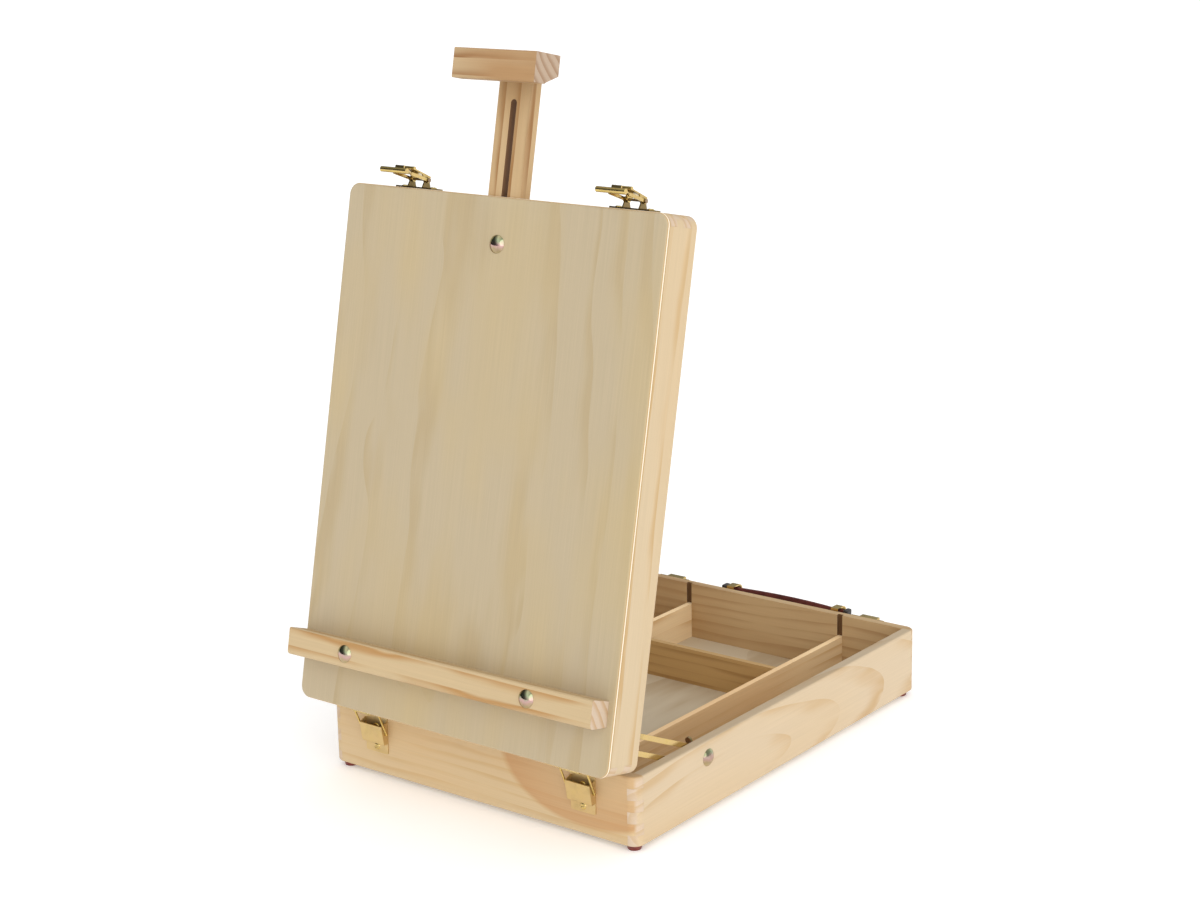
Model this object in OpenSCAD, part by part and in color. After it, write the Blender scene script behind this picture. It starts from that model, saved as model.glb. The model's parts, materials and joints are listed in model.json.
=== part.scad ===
// Tabletop box easel in wood: a lower box with dividers, and a hinged lid
// that stands open as the easel back, with a canvas ledge and a sliding mast.
// Units are millimetres. The bottom centre of the whole outline is the origin,
// X runs along the hinge side, Y from the hinge side to the handle side, Z up.

/* [Box] */
// Width of the box along the hinge side
box_w = 330; // [320:1:340]
// Length of the box from the hinge side to the handle side
box_l = 440; // [430:1:450]
// Height of the lower box walls
base_h = 60; // [59:0.5:62]
// Thickness of the wooden walls
wall_t = 9.5; // [9.3:0.1:10]
// Radius of the upright corners
corner_r = 10; // [10:0.5:12]
// Radius of the rounded outer edges
edge_r = 2; // [1:0.5:2.5]
// Height of the tapered feet
foot_h = 5; // [4:0.5:8]

/* [Dividers] */
// Thickness of the divider boards
divider_t = 5.5; // [5:0.1:6]
// Height of the dividers above the underside of the walls
divider_top = 39; // [25:1:50]
// Centre of the left divider, measured from the left side
left_divider_x = 77.5; // [60:0.5:95]
// Centre of the right divider, measured from the left side
right_divider_x = 252.25; // [200:0.25:262]
// Hinge-side face of the cross divider, measured from the hinge side
cross_divider_y = 320; // [240:1:345]

/* [Lid] */
// Depth of the lid frame with its panel
lid_h = 40; // [39.5:0.5:42]
// Thickness of the plywood panel
panel_t = 3; // [2.5:0.1:3.5]
// Opening angle of the lid as drawn
lid_open = 78; // [60:1:80]

/* [Ledge] */
// Length of the canvas ledge
ledge_l = 323; // [280:1:328]
// Sideways offset of the ledge from the middle of the lid
ledge_shift = -2.5; // [-2.5:0.5:0]
// Small tilt of the ledge on its bolts, in degrees
ledge_tilt = 0.6; // [0:0.1:0.8]
// Distance of each ledge bolt from the ledge middle
ledge_bolt_x = 97; // [80:1:110]

/* [Mast] */
// Width of the sliding mast
mast_w = 33.5; // [30:0.5:36]
// Thickness of the sliding mast
mast_t = 11.9; // [10:0.1:13]
// Width of the slot in the mast
slot_w = 6; // [5.5:0.1:8]
// Width of the canvas clamp head on the mast
head_w = 84; // [60:1:100]
// Height of the canvas clamp head on the mast
head_h = 24; // [20:0.5:28]
// Depth of the canvas clamp head
head_d = 30; // [28:0.5:34]

/* [Hardware] */
// Radius of the bolt shanks
bolt_r = 2.4; // [2.2:0.05:2.4]
// Radius of the domed bolt heads
dome_r = 7.5; // [6.5:0.25:8]
// Height of the domed bolt heads
dome_h = 3.2; // [2.5:0.1:4]
// Width of the hinge leaves
leaf_w = 25; // [24:0.5:25]
// Distance of the hinges and latches from the box sides
hardware_x = 53; // [50:1:65]
// Width of the slotted lid struts
strut_w = 18.2; // [17:0.1:18.4]
// Spacing of the two handle loops
loop_gap = 120; // [100:1:130]
// Sideways offset of the handle from the middle
handle_shift = 15; // [0:1:20]

/* [Hidden] */
$fn = 64;
eps = 0.5;

// hinge pin, in box coordinates
pin_y = -1.6;
pin_z = base_h + 2.3;
pin_r = 0.8;
knuckle_r = 1.5;
knuckle_bore_r = 0.85;
tongue_w = 12;
tongue_gap = 0.3;
leaf_t = 0.9;
hinge_screw_drops = [17, 35];
lid_screw_ns = [23, 32];

// joints of the walls
base_fingers = 6;
lid_fingers = 4;
wall_top = lid_h - panel_t;
groove_d = 4;
floor_z = 1.5;
floor_t = 3;
floor_slack = 0.1;
dado_d = 3;
dado_slack = 0.1;
foot_r = 7;
foot_tip_r = 5.6;
foot_inset = 10.5;

// canvas ledge, in lid coordinates: v up the lid, n out of it
ledge_v = 51.5;
ledge_d = 21.5;
ledge_n = lid_h;
ledge_front = ledge_n + ledge_d;
ledge_nose_r = 4;

// mast and its clamp
mast_n1 = wall_top - 0.1;
mast_n0 = mast_n1 - mast_t;
mast_low = 108;
mast_high = 548;
slot_low = 128;
slot_high = 518;
head_v = 530;
mast_bolt_v = 402;
mast_slack = 0.25;

// slotted struts: pivot on the lid, clamp bolt on the box
strut_v = 17;
strut_n = 30;
strut_t = 1.5;
strut_gap = 0.5;
strut_eye_r = 6;
strut_neck_w = 10.4;
strut_drop = 24.7 - (lid_open - 78) * 0.1666;
strut_offset = 13;
strut_crank = 22;
strut_slot_a = 40;
strut_slot_b = 131;
strut_slot_w = 9.3;
clamp_y = 99.5;
clamp_z = base_h - 14.707;
shoulder_r = 2;
shoulder_slack = 0.15;
washer_t = 1.2;
washer_r = 7;
nut_hub_h = 6;
nut_hub_r = 4.6;
nut_gap = 0.1;

// hinge stays: bent wire from the lower leaf to the bridge on the lid leaf
wire_r = 0.9;
stay_y = -3.507;
stay_z = base_h - 21.084;
stay_l = 27.769;
stay_turn = 113.638 + (lid_open - 78) * 0.342;
stay_x = leaf_w / 2 + 1.5;

// screws
screw_r = 1.4;
screw_l = 7.5;
screw_head_r = 3.1;
screw_head_h = 1.1;
plate_t = 1;
strike_half = 17.5;
strike_screw_x = 13.4;
strike_screw_drop = 10;
loop_screw_drops = [31, 14];
loop_reach = 16;
pivot_screw_l = 7;
bolt_tail = 10.5;

// carrying strap
strap_y = 8;
strap_t = 3.6;
strap_h = 22;
strap_bow = 4.5;
strap_low = base_h - 22.5;
stop_w = 5;
stop_d = 9;

// latches, in lid coordinates measured from the outer face of the top wall
latch_pin_n = 13;
latch_pin_d = 8;
latch_pin_r = 1;
latch_plate_half = 19.5;
latch_plate_t = 1.6;
latch_screw_x = 15.5;
latch_screw_n = 12.5;
latch_roller_r = 2.3;
claw_rest = 9;
lever_rest = 14;
sheet_t = 1.2;
strike_lip_z = base_h - 11.8;

// place of the box in the outline, which ends at the lower ledge bolt's dome and at the handle loops
dome_cap_r = (dome_r * dome_r + dome_h * dome_h) / (2 * dome_h);
low_dome_v = ledge_v - ledge_bolt_x * sin(ledge_tilt);
low_dome_n = ledge_front + dome_h - dome_cap_r;
y_low = pin_y + (low_dome_v - pin_y) * cos(lid_open)
  - (low_dome_n + base_h - pin_z) * sin(lid_open) - dome_cap_r;
y_high = box_l + loop_reach;
y_mid = (y_low + y_high) / 2;

wood_side = [0.90, 0.81, 0.68];
wood_front = [0.82, 0.67, 0.48];
wood_panel = [0.78, 0.70, 0.57];
wood_pale = [0.88, 0.80, 0.64];
wood_mast = [0.77, 0.64, 0.46];
brass = [0.72, 0.62, 0.38];
steel = [0.45, 0.42, 0.36];
maroon = [0.36, 0.15, 0.12];

// ---------- places ----------

// box coordinates: x from the left side, y from the hinge side, z from the walls' underside
module box_place() {
  translate([-box_w / 2, -y_mid, foot_h]) children();
}

// lid coordinates: x as the box, v up the lid from the hinge side, n out of the panel
module lid_place() {
  box_place()
    translate([0, pin_y, pin_z])
      rotate([lid_open, 0, 0])
        translate([0, -pin_y, base_h - pin_z])
          children();
}

// the ledge and its fastenings share the small tilt
module ledge_place() {
  lid_place()
    translate([box_w / 2 + ledge_shift, ledge_v, 0])
      rotate([0, 0, ledge_tilt])
        children();
}

// latch coordinates: x from the latch middle, y out of the top wall, z towards the panel
module latch_place(x) {
  lid_place() translate([x, box_l, 0]) children();
}

// turns a drawing in (y, z) so that it is extruded along x, centred
module along_x(len) {
  rotate([90, 0, 90]) translate([0, 0, -len / 2]) linear_extrude(len) children();
}

// ---------- plain shapes ----------

module slab(x0, x1, y0, y1, z0, z1) {
  translate([x0, y0, z0]) cube([x1 - x0, y1 - y0, z1 - z0]);
}

module rod_x(x0, x1, y, z, r) {
  translate([x0, y, z]) rotate([0, 90, 0]) cylinder(r = r, h = x1 - x0);
}

module rod_y(x, y0, y1, z, r) {
  translate([x, y1, z]) rotate([90, 0, 0]) cylinder(r = r, h = y1 - y0);
}

module rod_z(x, y, z0, z1, r) {
  translate([x, y, z0]) cylinder(r = r, h = z1 - z0);
}

// rectangle with rounded corners, from the origin
module soft_rect(w, h, r) {
  translate([r, 0]) square([w - 2 * r, h]);
  translate([0, r]) square([w, h - 2 * r]);
  for (x = [r, w - r]) {
    for (y = [r, h - r]) translate([x, y]) circle(r);
  }
}

// box outline with rounded upright corners and rounded edges
module soft_block(w, l, h) {
  translate([corner_r, 0, 0])
    rotate([90, 0, 90]) linear_extrude(w - 2 * corner_r) soft_rect(l, h, edge_r);
  translate([0, l - corner_r, 0])
    rotate([90, 0, 0]) linear_extrude(l - 2 * corner_r) soft_rect(w, h, edge_r);
  for (x = [corner_r, w - corner_r]) {
    for (y = [corner_r, l - corner_r]) translate([x, y, 0]) soft_post(h);
  }
}

module soft_post(h) {
  rotate_extrude() {
    square([corner_r - edge_r, h]);
    translate([0, edge_r]) square([corner_r, h - 2 * edge_r]);
    translate([corner_r - edge_r, edge_r]) circle(edge_r);
    translate([corner_r - edge_r, h - edge_r]) circle(edge_r);
  }
}

// domed head standing on z = 0, with its shank going down
module dome_bolt(shank) {
  rotate_extrude() {
    intersection() {
      translate([0, dome_h - dome_cap_r]) circle(dome_cap_r);
      square([dome_r, dome_h]);
    }
  }
  translate([0, 0, -shank]) cylinder(r = bolt_r, h = shank + 0.2);
}

// small domed wood screw, head on z = 0, shank going down
module wood_screw() {
  cap_r = (screw_head_r * screw_head_r + screw_head_h * screw_head_h) / (2 * screw_head_h);
  rotate_extrude() {
    intersection() {
      translate([0, screw_head_h - cap_r]) circle(cap_r);
      square([screw_head_r, screw_head_h]);
    }
  }
  translate([0, 0, -screw_l]) cylinder(r = screw_r, h = screw_l + 0.1);
}

// wing nut clamping downwards on z = 0
module wing_nut() {
  difference() {
    union() {
      cylinder(r = nut_hub_r, h = nut_hub_h);
      for (side = [0, 180]) {
        rotate([0, 0, side]) rotate([90, 0, 0]) translate([0, 0, -1]) linear_extrude(2) nut_wing();
      }
    }
    translate([0, 0, -eps]) cylinder(r = bolt_r + nut_gap, h = nut_hub_h + 4);
  }
}

module nut_wing() {
  polygon([[3, 0.6], [5.2, 0.6], [12.8, 4.8], [9.2, 8.8], [3, 5.4]]);
  translate([10.7, 7]) circle(2.7);
}

module flat_washer(r) {
  difference() {
    cylinder(r = r, h = washer_t);
    translate([0, 0, -eps]) cylinder(r = bolt_r + nut_gap, h = washer_t + 2 * eps);
  }
}

// ---------- finger jointed walls ----------

// upright bands of a corner that belong to the end walls; the side walls take the rest
module finger_bands(h, count, first) {
  step = h / count;
  for (i = [first : 2 : count - 1]) {
    slab(-eps, box_w + eps, -eps, box_l + eps, i * step, (i + 1) * step);
  }
}

module end_wall(h, count, y0) {
  intersection() {
    soft_block(box_w, box_l, h + cut_depth(h));
    slab(0, box_w, y0, y0 + wall_t, 0, h);
    union() {
      slab(wall_t, box_w - wall_t, -eps, box_l + eps, 0, h);
      finger_bands(h, count, 1);
    }
  }
}

module side_wall(h, count, x0) {
  intersection() {
    soft_block(box_w, box_l, h + cut_depth(h));
    slab(x0, x0 + wall_t, 0, box_l, 0, h);
    union() {
      slab(-eps, box_w + eps, wall_t, box_l - wall_t, 0, h);
      finger_bands(h, count, 0);
    }
  }
}

// the lid walls stop under the panel, the box walls do not
function cut_depth(h) = h == base_h ? 0 : panel_t;

module floor_groove() {
  low = wall_t - groove_d;
  slab(low, box_w - low, low, box_l - low, floor_z, floor_z + floor_t);
}

module dado_y(x, y0, y1) {
  half = divider_t / 2 + dado_slack;
  slab(x - half, x + half, y0, y1, floor_z + floor_t, base_h + eps);
}

module hinge_base_holes() {
  for (x = [hardware_x, box_w - hardware_x]) {
    for (drop = hinge_screw_drops) rod_y(x, -eps, screw_l - leaf_t, base_h - drop, screw_r);
  }
}

module base_front_wall() {
  color(wood_front) box_place() difference() {
    end_wall(base_h, base_fingers, 0);
    floor_groove();
    dado_y(right_divider_x, wall_t - dado_d, wall_t + eps);
    hinge_base_holes();
  }
}

module base_rear_wall() {
  inner = box_l - wall_t;
  color(wood_front) box_place() difference() {
    end_wall(base_h, base_fingers, inner);
    floor_groove();
    dado_y(left_divider_x, inner - eps, inner + dado_d);
    dado_y(right_divider_x, inner - eps, inner + dado_d);
    for (x = [hardware_x, box_w - hardware_x]) {
      for (s = [-1, 1]) strike_screw_hole(x + s * strike_screw_x);
    }
    for (s = [-1, 1]) {
      for (drop = loop_screw_drops) {
        rod_y(loop_x(s), box_l + plate_t - screw_l, box_l + eps, base_h - drop, screw_r);
      }
    }
  }
}

module strike_screw_hole(x) {
  rod_y(x, box_l + plate_t - screw_l, box_l + eps, base_h - strike_screw_drop, screw_r);
}

module base_left_wall() {
  color(wood_side) box_place() difference() {
    side_wall(base_h, base_fingers, 0);
    floor_groove();
    slab(wall_t - dado_d, wall_t + eps, cross_divider_y - dado_slack,
         cross_divider_y + divider_t + dado_slack, floor_z + floor_t, base_h + eps);
    rod_x(-eps, wall_t + eps, clamp_y, clamp_z, bolt_r);
  }
}

module base_right_wall() {
  color(wood_side) box_place() difference() {
    side_wall(base_h, base_fingers, box_w - wall_t);
    floor_groove();
    rod_x(box_w - wall_t - eps, box_w + eps, clamp_y, clamp_z, bolt_r);
  }
}

module base_floor() {
  low = wall_t - groove_d + floor_slack;
  color(wood_panel) box_place()
    slab(low, box_w - low, low, box_l - low, floor_z, floor_z + floor_t);
}

// ---------- dividers ----------

module divider_y(x, y0, y1) {
  slab(x - divider_t / 2, x + divider_t / 2, y0, y1, floor_z + floor_t, divider_top);
}

module divider_left() {
  color(wood_side) box_place()
    divider_y(left_divider_x, cross_divider_y + divider_t, box_l - wall_t + dado_d - dado_slack);
}

module divider_right() {
  color(wood_side) box_place()
    divider_y(right_divider_x, wall_t - dado_d + dado_slack, box_l - wall_t + dado_d - dado_slack);
}

module divider_cross() {
  color(wood_side) box_place()
    slab(wall_t - dado_d + dado_slack, right_divider_x - divider_t / 2,
         cross_divider_y, cross_divider_y + divider_t, floor_z + floor_t, divider_top);
}

module feet() {
  color(maroon) box_place() {
    for (x = [foot_inset, box_w - foot_inset]) {
      for (y = [foot_inset, box_l - foot_inset]) {
        translate([x, y, -foot_h]) cylinder(r1 = foot_tip_r, r2 = foot_r, h = foot_h);
      }
    }
  }
}

// ---------- hinges ----------

module hinge_base_leaf(x) {
  half = leaf_w / 2;
  z0 = base_h - 40.4;
  flap_low = base_h - 29.6;
  flap_high = base_h - 13;
  color(brass) box_place() translate([x, 0, 0]) difference() {
    union() {
      translate([-half, 0, z0]) rotate([90, 0, 0]) linear_extrude(leaf_t) {
        soft_rect(leaf_w, base_h + 0.4 - z0, 1.8);
      }
      slab(-tongue_w / 2, tongue_w / 2, -leaf_t, 0, base_h, pin_z);
      rod_x(-tongue_w / 2, tongue_w / 2, pin_y, pin_z, knuckle_r);
      along_x(leaf_w) polygon([
        [-0.5, flap_low - 0.9], [-5.2, flap_low - 0.9], [-5.8, flap_low], [-8.6, flap_high],
        [-7.6, flap_high + 0.2], [-4.9, flap_low + 0.1], [-0.5, flap_low + 0.1]
      ]);
      for (s = [-1, 1]) {
        translate([s * (half - leaf_t / 2), 0, 0]) along_x(leaf_t) polygon([
          [-0.5, flap_low - 0.9], [-5.2, flap_low - 0.9], [-8.6, flap_high], [-0.5, flap_high + 3]
        ]);
      }
    }
    rod_x(-half, half, pin_y, pin_z, knuckle_bore_r);
    rod_x(-half - eps, half + eps, stay_y, stay_z, wire_r + 0.2);
    for (drop = hinge_screw_drops) rod_y(0, -leaf_t - eps, eps, base_h - drop, screw_r);
  }
}

module hinge_base_leaf_l() {
  hinge_base_leaf(hardware_x);
}

module hinge_base_leaf_r() {
  hinge_base_leaf(box_w - hardware_x);
}

module hinge_pins() {
  color(steel) box_place() {
    for (x = [hardware_x, box_w - hardware_x]) {
      rod_x(x - leaf_w / 2, x + leaf_w / 2, pin_y, pin_z, pin_r);
    }
  }
}

module hinge_base_screws() {
  color(brass) box_place() {
    for (x = [hardware_x, box_w - hardware_x]) {
      for (drop = hinge_screw_drops) {
        translate([x, -leaf_t, base_h - drop]) rotate([90, 0, 0]) wood_screw();
      }
    }
  }
}

module hinge_lid_leaf(x) {
  half = leaf_w / 2;
  bridge_half = 10;
  pin_n = pin_z - base_h;
  color(brass) lid_place() translate([x, 0, 0]) difference() {
    union() {
      slab(-half, half, -leaf_t, 0, pin_n + 2.3, 36);
      for (s = [-1, 1]) {
        side = (half + tongue_w / 2 + tongue_gap) / 2;
        w = half - tongue_w / 2 - tongue_gap;
        slab(s * side - w / 2, s * side + w / 2, -leaf_t, 0, pin_n, pin_n + 2.6);
        rod_x(s * side - w / 2, s * side + w / 2, pin_y, pin_n, knuckle_r);
      }
      slab(-bridge_half, bridge_half, -6.6, -5.7, 4.5, 18.4);
      slab(-bridge_half, bridge_half, -5.8, -leaf_t + 0.1, 4.5, 5.3);
      slab(-bridge_half, bridge_half, -5.8, -leaf_t + 0.1, 17.5, 18.4);
    }
    rod_x(-half - eps, half + eps, pin_y, pin_n, knuckle_bore_r);
    for (n = lid_screw_ns) rod_y(0, -leaf_t - eps, eps, n, screw_r);
  }
}

module hinge_lid_leaf_l() {
  hinge_lid_leaf(hardware_x);
}

module hinge_lid_leaf_r() {
  hinge_lid_leaf(box_w - hardware_x);
}

module hinge_lid_screws() {
  color(brass) lid_place() {
    for (x = [hardware_x, box_w - hardware_x]) {
      for (n = lid_screw_ns) translate([x, -leaf_t, n]) rotate([90, 0, 0]) wood_screw();
    }
  }
}

module hinge_stay(x) {
  color(brass) box_place() translate([x, stay_y, stay_z]) rotate([stay_turn - 90, 0, 0]) {
    for (s = [-1, 1]) {
      rod_z(s * stay_x, 0, 0, stay_l, wire_r);
      translate([s * stay_x, 0, 0]) sphere(wire_r);
      translate([s * stay_x, 0, stay_l]) sphere(wire_r);
      rod_x(s > 0 ? stay_x - 3.4 : -stay_x, s > 0 ? stay_x : 3.4 - stay_x, 0, 0, wire_r);
    }
    rod_x(-stay_x, stay_x, 0, stay_l, wire_r);
  }
}

module hinge_stay_l() {
  hinge_stay(hardware_x);
}

module hinge_stay_r() {
  hinge_stay(box_w - hardware_x);
}

// ---------- slotted struts and their clamps ----------

module strut_outline() {
  half = strut_w / 2;
  end = strut_slot_b;
  difference() {
    union() {
      circle(strut_eye_r);
      rotate(atan2(strut_offset, strut_crank))
        translate([0, -strut_neck_w / 2])
          square([norm([strut_crank, strut_offset]), strut_neck_w]);
      translate([strut_crank, strut_offset]) circle(half);
      translate([strut_crank, strut_offset - half]) square([end - strut_crank, strut_w]);
      translate([end, strut_offset]) circle(half);
    }
    circle(shoulder_r + shoulder_slack);
    translate([strut_slot_a, strut_offset]) circle(strut_slot_w / 2);
    translate([strut_slot_b, strut_offset]) circle(strut_slot_w / 2);
    translate([strut_slot_a, strut_offset - strut_slot_w / 2])
      square([strut_slot_b - strut_slot_a, strut_slot_w]);
  }
}

// middle of the strut's thickness, measured from the left side, for side -1 or 1
function strut_x(side) = box_w / 2 + side * (box_w / 2 - wall_t - strut_gap - strut_t / 2);

function pivot_y() = pin_y + (strut_v - pin_y) * cos(lid_open)
  - (strut_n + base_h - pin_z) * sin(lid_open);

function pivot_z() = pin_z + (strut_v - pin_y) * sin(lid_open)
  + (strut_n + base_h - pin_z) * cos(lid_open);

module strut(side) {
  color(brass) box_place()
    translate([strut_x(side), pivot_y(), pivot_z()])
      rotate([-strut_drop, 0, 0])
        along_x(strut_t) strut_outline();
}

module strut_l() {
  strut(-1);
}

module strut_r() {
  strut(1);
}

module strut_pivot_screws() {
  color(brass) lid_place() {
    for (s = [-1, 1]) {
      translate([strut_x(s), strut_v, strut_n]) rotate([0, -s * 90, 0]) {
        translate([0, 0, strut_t / 2 + 0.1]) cylinder(r = 4, h = 1.3);
        translate([0, 0, -strut_t / 2 - strut_gap]) cylinder(r = shoulder_r, h = strut_t + strut_gap + 0.2);
        translate([0, 0, -strut_t / 2 - strut_gap - pivot_screw_l])
          cylinder(r = screw_r, h = pivot_screw_l + 0.2);
      }
    }
  }
}

// places things on a clamp bolt: z = 0 at the inner face of the strut, going inwards
module clamp_place(side) {
  box_place()
    translate([strut_x(side) - side * strut_t / 2, clamp_y, clamp_z])
      rotate([0, -side * 90, 0])
        children();
}

module clamp_bolt(side) {
  grip = wall_t + strut_gap + strut_t;
  color(brass) clamp_place(side)
    translate([0, 0, -grip]) rotate([180, 0, 0]) dome_bolt(grip + bolt_tail);
}

module clamp_bolt_l() {
  clamp_bolt(-1);
}

module clamp_bolt_r() {
  clamp_bolt(1);
}

module clamp_washers() {
  color(brass) {
    clamp_place(-1) translate([0, 0, 0.1]) flat_washer(washer_r);
    clamp_place(1) translate([0, 0, 0.1]) flat_washer(washer_r);
  }
}

module clamp_wing_nut(side) {
  color(steel) clamp_place(side) translate([0, 0, washer_t + 0.2]) wing_nut();
}

module clamp_wing_nut_l() {
  clamp_wing_nut(-1);
}

module clamp_wing_nut_r() {
  clamp_wing_nut(1);
}

// ---------- strikes and handle on the handle side ----------

module strike_plate(x) {
  half = 9.25;
  hump_d = 7;
  color(brass) box_place() translate([x, box_l, 0]) difference() {
    union() {
      slab(-strike_half, strike_half, 0, plate_t, base_h - 21, base_h - 0.5);
      slab(-half, half, 0.5, hump_d, base_h - 0.5 - sheet_t, base_h - 0.5);
      slab(-half, half, hump_d - sheet_t, hump_d, strike_lip_z, base_h - 0.5);
      for (s = [-1, 1]) {
        translate([s * (half - sheet_t / 2), 0, 0]) along_x(sheet_t) polygon([
          [0.5, strike_lip_z - 3], [hump_d, strike_lip_z + 2], [hump_d, base_h - 0.5], [0.5, base_h - 0.5]
        ]);
      }
    }
    for (s = [-1, 1]) {
      rod_y(s * strike_screw_x, -eps, plate_t + eps, base_h - strike_screw_drop, screw_r);
    }
  }
}

module strike_plate_l() {
  strike_plate(hardware_x);
}

module strike_plate_r() {
  strike_plate(box_w - hardware_x);
}

module strike_screws() {
  color(brass) box_place() {
    for (x = [hardware_x, box_w - hardware_x]) {
      for (s = [-1, 1]) {
        translate([x + s * strike_screw_x, box_l + plate_t, base_h - strike_screw_drop])
          rotate([-90, 0, 0]) wood_screw();
      }
    }
  }
}

function loop_x(side) = box_w / 2 + handle_shift + side * loop_gap / 2;

// bent strip that stands off the wall and holds the strap
module handle_loop(side) {
  strip_w = 8;
  high = base_h + 2;
  low = base_h - 27;
  color(brass) box_place() translate([loop_x(side), box_l, 0]) difference() {
    union() {
      slab(-strip_w / 2, strip_w / 2, 0, plate_t, base_h - 35, base_h - 1);
      along_x(strip_w) difference() {
        loop_outline(high - low, low, 0);
        loop_outline(high - low, low, sheet_t);
      }
    }
    for (drop = loop_screw_drops) rod_y(0, -eps, plate_t + eps, base_h - drop, screw_r);
  }
}

// outline in (y, z) with two rounded outer corners, shrunk by inset
module loop_outline(tall, low, inset) {
  r = 6 - inset;
  y1 = loop_reach - inset;
  z0 = low + inset;
  z1 = low + tall - inset;
  translate([inset > 0 ? 1 : 0.5, z0]) square([y1 - r - 0.5, z1 - z0]);
  translate([y1 - r - 0.2, z0 + r]) square([r + 0.2, z1 - z0 - 2 * r]);
  for (z = [z0 + r, z1 - r]) translate([y1 - r, z]) circle(r);
}

module handle_loop_l() {
  handle_loop(-1);
}

module handle_loop_r() {
  handle_loop(1);
}

module loop_screws() {
  color(brass) box_place() {
    for (s = [-1, 1]) {
      for (drop = loop_screw_drops) {
        translate([loop_x(s), box_l + plate_t, base_h - drop]) rotate([-90, 0, 0]) wood_screw();
      }
    }
  }
}

// plan of the strap: straight where it passes the loops, bowed outwards between them
module strap_plan() {
  half = loop_gap / 2 - 3;
  mid_r = (half * half + strap_bow * strap_bow) / (2 * strap_bow);
  intersection() {
    translate([0, strap_y + strap_bow - mid_r]) difference() {
      circle(mid_r + strap_t / 2, $fn = 360);
      circle(mid_r - strap_t / 2, $fn = 360);
    }
    translate([-half, 0]) square([2 * half, 20]);
  }
  for (s = [-1, 1]) {
    translate([s * (half + 6) - 6.05, strap_y - strap_t / 2]) square([12.1, strap_t]);
  }
}

module handle_strap() {
  stop = loop_gap / 2 + 7.4;
  color(maroon) box_place() translate([box_w / 2 + handle_shift, box_l, 0]) {
    translate([0, 0, strap_low]) linear_extrude(strap_h) strap_plan();
    for (s = [-1, 1]) {
      translate([s * (stop + stop_w / 2), strap_y, strap_low - 1]) strap_stop();
    }
  }
}

module strap_stop() {
  translate([-stop_w / 2, -stop_d / 2, 0]) linear_extrude(strap_h + 2) soft_rect(stop_w, stop_d, 1.5);
}

// ---------- lid frame ----------

module ledge_holes() {
  for (s = [-1, 1]) {
    translate([box_w / 2 + ledge_shift, ledge_v, 0])
      rotate([0, 0, ledge_tilt])
        translate([s * ledge_bolt_x, 0, wall_top - eps])
          cylinder(r = bolt_r, h = panel_t + 2 * eps);
  }
}

module lid_top_wall() {
  half = mast_w / 2 + mast_slack;
  color(wood_front) lid_place() difference() {
    end_wall(wall_top, lid_fingers, box_l - wall_t);
    slab(box_w / 2 - half, box_w / 2 + half, box_l - wall_t - eps, box_l + eps, mast_n0 - 0.1, wall_top + eps);
    for (x = [hardware_x, box_w - hardware_x]) {
      for (s = [-1, 1]) {
        rod_y(x + s * latch_screw_x, box_l + latch_plate_t - screw_l, box_l + eps, latch_screw_n, screw_r);
      }
    }
  }
}

module lid_bottom_wall() {
  color(wood_front) lid_place() difference() {
    end_wall(wall_top, lid_fingers, 0);
    for (x = [hardware_x, box_w - hardware_x]) {
      for (n = lid_screw_ns) rod_y(x, -eps, screw_l - leaf_t, n, screw_r);
    }
  }
}

module lid_left_wall() {
  color(wood_side) lid_place() difference() {
    side_wall(wall_top, lid_fingers, 0);
    rod_x(wall_t - pivot_screw_l, wall_t + eps, strut_v, strut_n, screw_r);
  }
}

module lid_right_wall() {
  color(wood_side) lid_place() difference() {
    side_wall(wall_top, lid_fingers, box_w - wall_t);
    rod_x(box_w - wall_t - eps, box_w - wall_t + pivot_screw_l, strut_v, strut_n, screw_r);
  }
}

module lid_panel() {
  color(wood_panel) lid_place() difference() {
    intersection() {
      soft_block(box_w, box_l, lid_h);
      slab(0, box_w, 0, box_l, wall_top, lid_h);
    }
    rod_z(box_w / 2, mast_bolt_v, wall_top - eps, lid_h + eps, bolt_r);
    ledge_holes();
  }
}

// ---------- canvas ledge ----------

// section in (v, n) from the ledge middle: the top slopes down towards the panel
module ledge_section() {
  low = -12;
  nose = ledge_nose_r;
  difference() {
    polygon([
      [low + 0.8, ledge_n], [8.6, ledge_n], [11.4, ledge_front - 1.2],
      [10.6, ledge_front], [low, ledge_front], [low, ledge_n + 1]
    ]);
    translate([low, ledge_front - nose]) difference() {
      translate([-eps, 0]) square([nose + eps, nose + eps]);
      translate([nose, 0]) circle(nose);
    }
  }
}

module canvas_ledge() {
  color(wood_pale) ledge_place() difference() {
    along_x(ledge_l) ledge_section();
    for (s = [-1, 1]) rod_z(s * ledge_bolt_x, 0, ledge_n - eps, ledge_front + eps, bolt_r);
  }
}

module ledge_bolts() {
  color(brass) ledge_place() {
    for (s = [-1, 1]) translate([s * ledge_bolt_x, 0, ledge_front]) dome_bolt(ledge_d + panel_t + 7);
  }
}

module ledge_washers() {
  color(brass) ledge_place() {
    for (s = [-1, 1]) translate([s * ledge_bolt_x, 0, wall_top - washer_t]) flat_washer(6);
  }
}

module ledge_nuts() {
  color(steel) ledge_place() {
    for (s = [-1, 1]) {
      translate([s * ledge_bolt_x, 0, wall_top - washer_t - 4]) difference() {
        cylinder(r = 4.6, h = 4, $fn = 6);
        translate([0, 0, -eps]) cylinder(r = bolt_r, h = 4 + 2 * eps);
      }
    }
  }
}

// ---------- mast ----------

module mast_bolt() {
  color(brass) lid_place()
    translate([box_w / 2, mast_bolt_v, lid_h]) dome_bolt(lid_h - mast_n0 + bolt_tail);
}

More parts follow.
